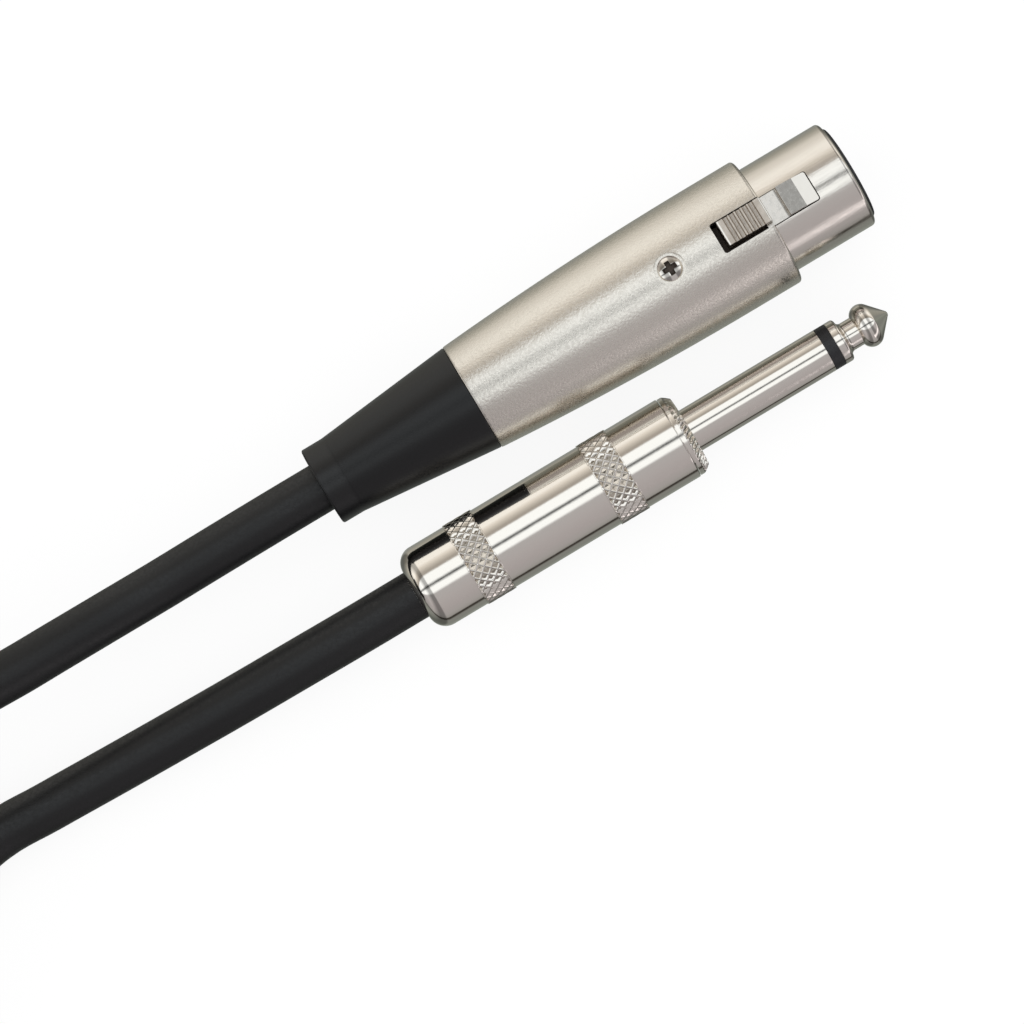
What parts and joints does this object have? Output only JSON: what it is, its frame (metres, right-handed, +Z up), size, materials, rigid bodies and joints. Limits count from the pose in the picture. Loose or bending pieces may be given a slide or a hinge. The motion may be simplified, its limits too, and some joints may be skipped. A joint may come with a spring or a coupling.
{
  "type": "audio cable",
  "caption": "Audio lead with a latching three-pole socket connector and a jack plug, its round black cable folded in a tied hank.",
  "frame": {"origin": "bottom centre of the two connectors' box, on the surface that the lead lies on", "axes": "+X towards the mating ends of both connectors, which lie side by side along X; +Z up, latch on top"},
  "size_m": [0.2903, 0.0835, 0.0333],
  "materials": {
    "satin_nickel": "satin, fine grain",
    "polished_nickel": "polished",
    "plated_contact": "bright",
    "steel": "plain",
    "copper": "bare strands",
    "insert_nylon": "moulded",
    "clear_liner": "smooth",
    "fibre_washer": "pressed fibre",
    "white_plastic": "extruded",
    "red_plastic": "extruded",
    "boot_rubber": "moulded, matt",
    "cable_jacket": "extruded, matt",
    "tie_fabric": "woven hook and loop"
  },
  "bodies": {
    "lead": {"xlr_boot": "boot_rubber", "xlr_shell": "satin_nickel", "xlr_nose": "satin_nickel", "xlr_insert": "insert_nylon", "xlr_contact_1": "plated_contact", "xlr_contact_2": "plated_contact", "xlr_contact_3": "plated_contact", "latch_pin": "steel", "latch_spring": "steel", "shell_screw": "polished_nickel", "clamp_base": "steel", "clamp_strap": "steel", "clamp_screws": "steel", "xlr_jacket_end": "cable_jacket", "xlr_wire_1": "copper", "xlr_wire_2": "red_plastic", "xlr_wire_3": "white_plastic", "jack_barrel": "polished_nickel", "jack_sleeve": "polished_nickel", "jack_insulator_ring": "insert_nylon", "jack_tip": "polished_nickel", "jack_inner_insulator": "white_plastic", "jack_rear_washer": "fibre_washer", "jack_tip_lug": "plated_contact", "jack_clamp_lug": "plated_contact", "jack_liner": "clear_liner", "jack_jacket_end": "cable_jacket", "jack_wire_tip": "red_plastic", "jack_wire_sleeve": "copper", "cable_xlr_run": "cable_jacket", "cable_coil": "cable_jacket", "cable_jack_run": "cable_jacket", "coil_tie": "tie_fabric"},
    "latch": {"latch_lever": "polished_nickel"}
  },
  "joints": [
    {"name": "latch_rock", "type": "hinge", "parent": "lead", "child": "latch", "pos_m": [0.01897, 0.00786, 0.01452], "axis": [0, 1, 0], "range_deg": [0, 4.5], "stiffness_Nm_per_rad": 0.15, "springref_deg": -4.58, "deforming": ["latch_spring"]}
  ]
}
